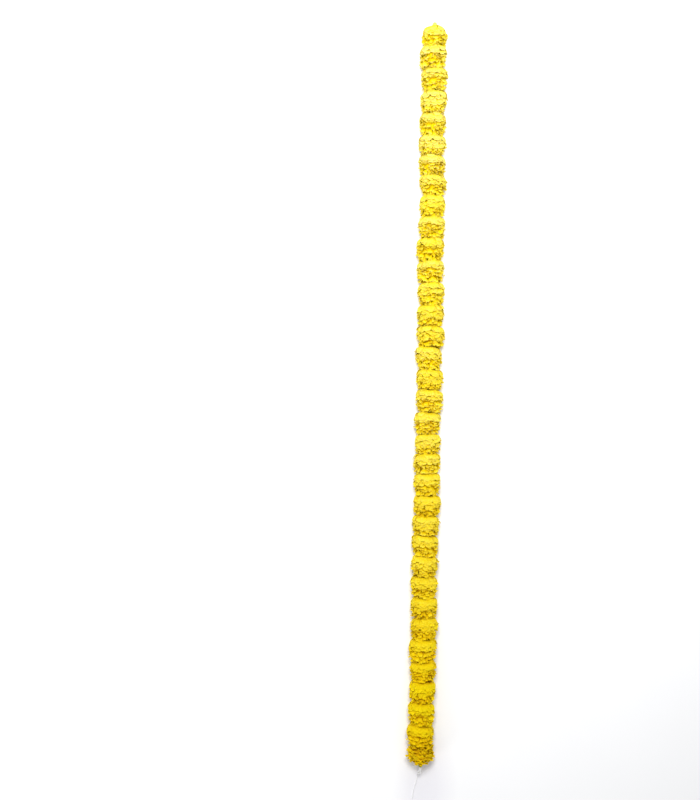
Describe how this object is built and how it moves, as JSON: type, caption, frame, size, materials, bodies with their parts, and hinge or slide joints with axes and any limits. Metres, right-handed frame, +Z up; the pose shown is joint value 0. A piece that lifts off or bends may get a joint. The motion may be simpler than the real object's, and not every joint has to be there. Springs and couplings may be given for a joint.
{
  "type": "marigold garland",
  "caption": "Straight garland of double marigold heads strung through their middles on white thread, with a hanging loop at one end and a loose tail at the other, laid flat.",
  "frame": {"origin": "on the surface that the garland lies on, under the middle of the box round its heads", "axes": "+Y along the garland towards the end with the hanging loop, +Z up from the surface"},
  "size_m": [0.061, 1.6505, 0.0499],
  "materials": {
    "petals": "matte",
    "thread": "matte",
    "calyx": "satin"
  },
  "bodies": {
    "root": {"marigold_head_01": "petals", "marigold_head_02": "petals", "marigold_head_03": "petals", "marigold_head_04": "petals", "marigold_head_05": "petals", "marigold_head_06": "petals", "marigold_head_07": "petals", "marigold_head_08": "petals", "marigold_head_09": "petals", "marigold_head_10": "petals", "marigold_head_11": "petals", "marigold_head_12": "petals", "marigold_head_13": "petals", "marigold_head_14": "petals", "marigold_head_15": "petals", "marigold_head_16": "petals", "marigold_head_17": "petals", "marigold_head_18": "petals", "marigold_head_19": "petals", "marigold_head_20": "petals", "marigold_head_21": "petals", "marigold_head_22": "petals", "marigold_head_23": "petals", "marigold_head_24": "petals", "marigold_head_25": "petals", "marigold_head_26": "petals", "marigold_head_27": "petals", "marigold_head_28": "petals", "marigold_head_29": "petals", "marigold_head_30": "petals", "marigold_head_31": "petals", "marigold_head_32": "petals", "marigold_head_33": "petals", "marigold_head_34": "petals", "marigold_head_35": "petals", "thread_through_heads": "thread", "knot_top": "thread", "thread_hanging_loop": "thread", "knot_bottom": "thread", "thread_tail": "thread"}
  },
  "joints": []
}
